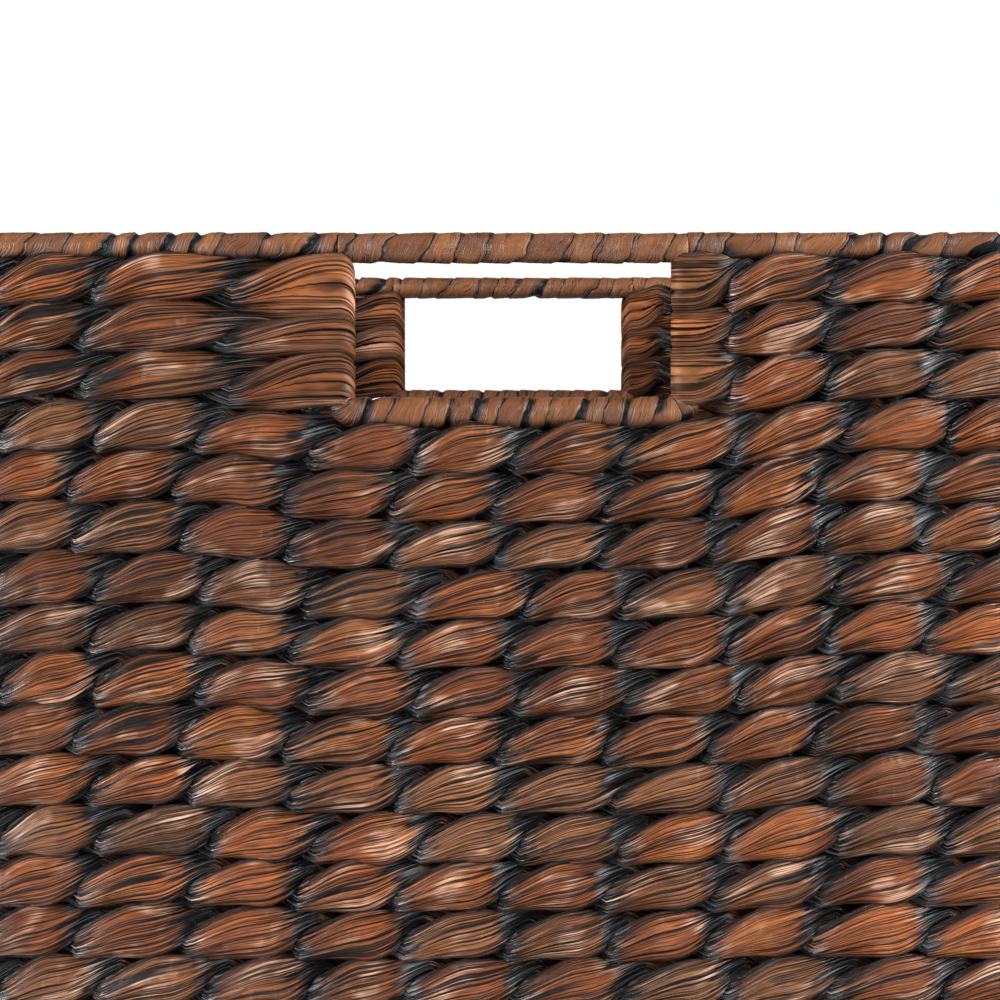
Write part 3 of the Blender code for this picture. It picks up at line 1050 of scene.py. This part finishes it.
class BASKET_OT_rim(bpy.types.Operator):
    """Wind leaf strips round the rim and the two grips"""

    bl_idname = "basket.rim"
    bl_label = "Rim and grips"

    def execute(self, context):
        settings, tree, material = strip_kit(context)
        low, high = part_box("grip_wrap_front")
        z, radius = (low[2] + high[2]) / 2, (high[1] - low[1]) / 2
        end = high[0] + 0.0001
        spans = {
            "rim_wrap_right": (end, walls.length / 2 - end),
            "rim_wrap_left": (walls.length / 2 + end, walls.length - end),
            "grip_wrap_front": (-end, end),
            "grip_wrap_back": (walls.length / 2 - end, walls.length / 2 + end),
        }
        for order, (node, (start, stop)) in enumerate(spans.items()):
            count = max(round((stop - start) / settings.spacing), 2)
            distances = doubled_ends([start + (stop - start) * step / count for step in range(count + 1)])
            places = [walls.place(distance) for distance in distances]
            height = z + (0.0007 if node.startswith("rim") else 0.0)
            points = [(place.x, place.y, height) for place, _ in places]
            outs = [(out.x, out.y, 0.0) for _, out in places]
            guide = bar_guide(f"{node} guide", points, outs, [UP] * len(points))
            # The last number is how strong the painted shade on the bar's underside is.
            share, ties, underside_shade_level = (0.86, 0.12, 0.9) if node.startswith("rim") else (0.97, 0.0, 0.35)
            sizes = strip_sizes(settings, radius * share, settings.width, ties, underside_shade_level, 40 + order)
            settle(grow(f"wound_{node}", [guide], tree, sizes, material), "leaf_wrap", node)
        return {"FINISHED"}


class BASKET_OT_sills(bpy.types.Operator):
    """Wind leaf strips round the bars under the handle openings"""

    bl_idname = "basket.sills"
    bl_label = "Sills"

    def execute(self, context):
        settings, tree, material = strip_kit(context)
        for order, (node, sign) in enumerate((("sill_wrap_front", -1), ("sill_wrap_back", 1))):
            low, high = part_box(node)
            y = (low[1] + high[1]) / 2
            radius = (high[1] - low[1]) / 2
            z = low[2] + radius
            bend, inner = SILL_BEND, walls.post_x - SILL_BEND
            line = []
            for step in range(9):
                angle = math.radians(200 + 70 * step / 8)
                line.append((-inner + bend * math.cos(angle), z + bend + bend * math.sin(angle)))
            count = round(2 * inner / settings.spacing)
            line += [(-inner + 2 * inner * step / count, z) for step in range(1, count)]
            line += [(-x, up) for x, up in line[8::-1]]
            line = doubled_ends([(-sign * x, up) for x, up in line])
            points = [(x, y, up) for x, up in line]
            rises = []
            for before, after in zip([line[0], *line[:-1]], [*line[1:], line[-1]]):
                way = Vector((after[0] - before[0], 0, after[1] - before[1])).normalized()
                rises.append(tuple(Vector((0, sign, 0)).cross(way)) if way.length else UP)
            outs = [(0, sign, 0)] * len(points)
            guide = bar_guide(f"{node} guide", points, outs, rises)
            sizes = strip_sizes(settings, radius * 0.97, settings.width * 0.75, 0.10, 0.6, 60 + order)
            settle(grow(f"wound_{node}", [guide], tree, sizes, material), "leaf_wrap", node)
        return {"FINISHED"}


class BASKET_OT_wires(bpy.types.Operator):
    """Give the frame's wires their dark coating"""

    bl_idname = "basket.wires"
    bl_label = "Wires"

    def execute(self, context):
        material = material_named("Coated wire", wire_material)
        starts = ("stake_", "corner_post", "base_ring_wire", "rim_wire", "handle_frame")
        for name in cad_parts:
            if name.startswith(starts):
                obj = bpy.data.objects[name]
                obj.data.materials.clear()
                obj.data.materials.append(material)
        return {"FINISHED"}


class BASKET_OT_stage(bpy.types.Operator):
    """Set the camera, the lights and the floor"""

    bl_idname = "basket.stage"
    bl_label = "Stage"

    def execute(self, context):
        settings = context.scene.basket_stage
        add_camera(context.scene, settings)
        add_light("Left light", (-1.35, -0.60, 0.50), 0.9, settings.side_light, (1.0, 0.98, 0.97))
        add_light("Right light", (1.35, -0.60, 0.50), 0.9, settings.side_light, (0.95, 0.98, 1.0))
        add_light("Front light", (0.0, -1.9, 1.3), 0.8, settings.front_light)
        add_light("Back light", (0.3, 1.7, 1.5), 1.0, settings.back_light)
        add_light("Top light", (0.0, -0.5, 1.8), 1.2, settings.top_light)
        bpy.ops.mesh.primitive_plane_add(size=5.0)
        floor = context.object
        floor.name = "Floor"
        floor.data.materials.append(floor_material())
        add_world(context.scene, settings.ambient)
        context.scene.view_settings.view_transform = "Standard"
        return {"FINISHED"}


def add_camera(scene, settings):
    data = bpy.data.cameras.new("Camera")
    data.lens = settings.lens
    data.sensor_width = 36.0
    camera = bpy.data.objects.new("Camera", data)
    camera.location = (0.0, -walls.mid_y - settings.distance, settings.height)
    camera.rotation_euler = (math.pi / 2 - settings.tilt, 0.0, settings.turn)
    scene.collection.objects.link(camera)
    scene.camera = camera


def add_light(name, place, size, power, colour=(1.0, 1.0, 1.0)):
    data = bpy.data.lights.new(name, "AREA")
    data.shape = "SQUARE"
    data.size = size
    data.energy = power
    data.color = colour
    light = bpy.data.objects.new(name, data)
    light.location = place
    aim = Vector((0, 0, 0.15)) - Vector(place)
    light.rotation_euler = aim.to_track_quat("-Z", "Y").to_euler()
    bpy.context.scene.collection.objects.link(light)


def add_world(scene, ambient):
    """White behind the basket, and a softer light from all round it."""
    world = bpy.data.worlds.new("Studio")
    world.use_nodes = True
    tree = world.node_tree
    tree.nodes.clear()
    path = tree.nodes.new("ShaderNodeLightPath")
    seen = add_node(tree, "ShaderNodeBackground", {"Color": (1, 1, 1, 1), "Strength": 1.0})
    lit = add_node(tree, "ShaderNodeBackground", {"Color": (1, 1, 1, 1), "Strength": ambient})
    leave = tree.nodes.new("ShaderNodeOutputWorld")
    share = path.outputs["Is Camera Ray"]
    tree.links.new(shader_mix(tree, share, lit, seen), leave.inputs["Surface"])
    scene.world = world


STEPS = [BASKET_OT_stage, BASKET_OT_wires, BASKET_OT_rows, BASKET_OT_handle_rows, BASKET_OT_base,
         BASKET_OT_rim, BASKET_OT_sills]


class BASKET_PT_panel(bpy.types.Panel):
    """The steps that make the basket"""

    bl_idname = "BASKET_PT_panel"
    bl_label = "Basket"
    bl_space_type = "VIEW_3D"
    bl_region_type = "UI"
    bl_category = "Basket"

    def draw(self, context):
        for step in STEPS:
            self.layout.operator(step.bl_idname)


SETTINGS = {"basket_stems": StemSettings, "basket_strips": StripSettings, "basket_finish": FinishSettings,
            "basket_stage": StageSettings}


def register():
    for group in [*SETTINGS.values(), *STEPS, BASKET_PT_panel]:
        bpy.utils.register_class(group)
    for name, group in SETTINGS.items():
        setattr(bpy.types.Scene, name, PointerProperty(type=group))


def unregister():
    for name in SETTINGS:
        delattr(bpy.types.Scene, name)
    for group in [BASKET_PT_panel, *reversed(STEPS), *SETTINGS.values()]:
        bpy.utils.unregister_class(group)


def main():
    register()
    for step in STEPS:
        group, name = step.bl_idname.split(".")
        getattr(getattr(bpy.ops, group), name)()
    bpy.data.collections.remove(collection_named(GUIDES))


if __name__ == "__main__":
    main()
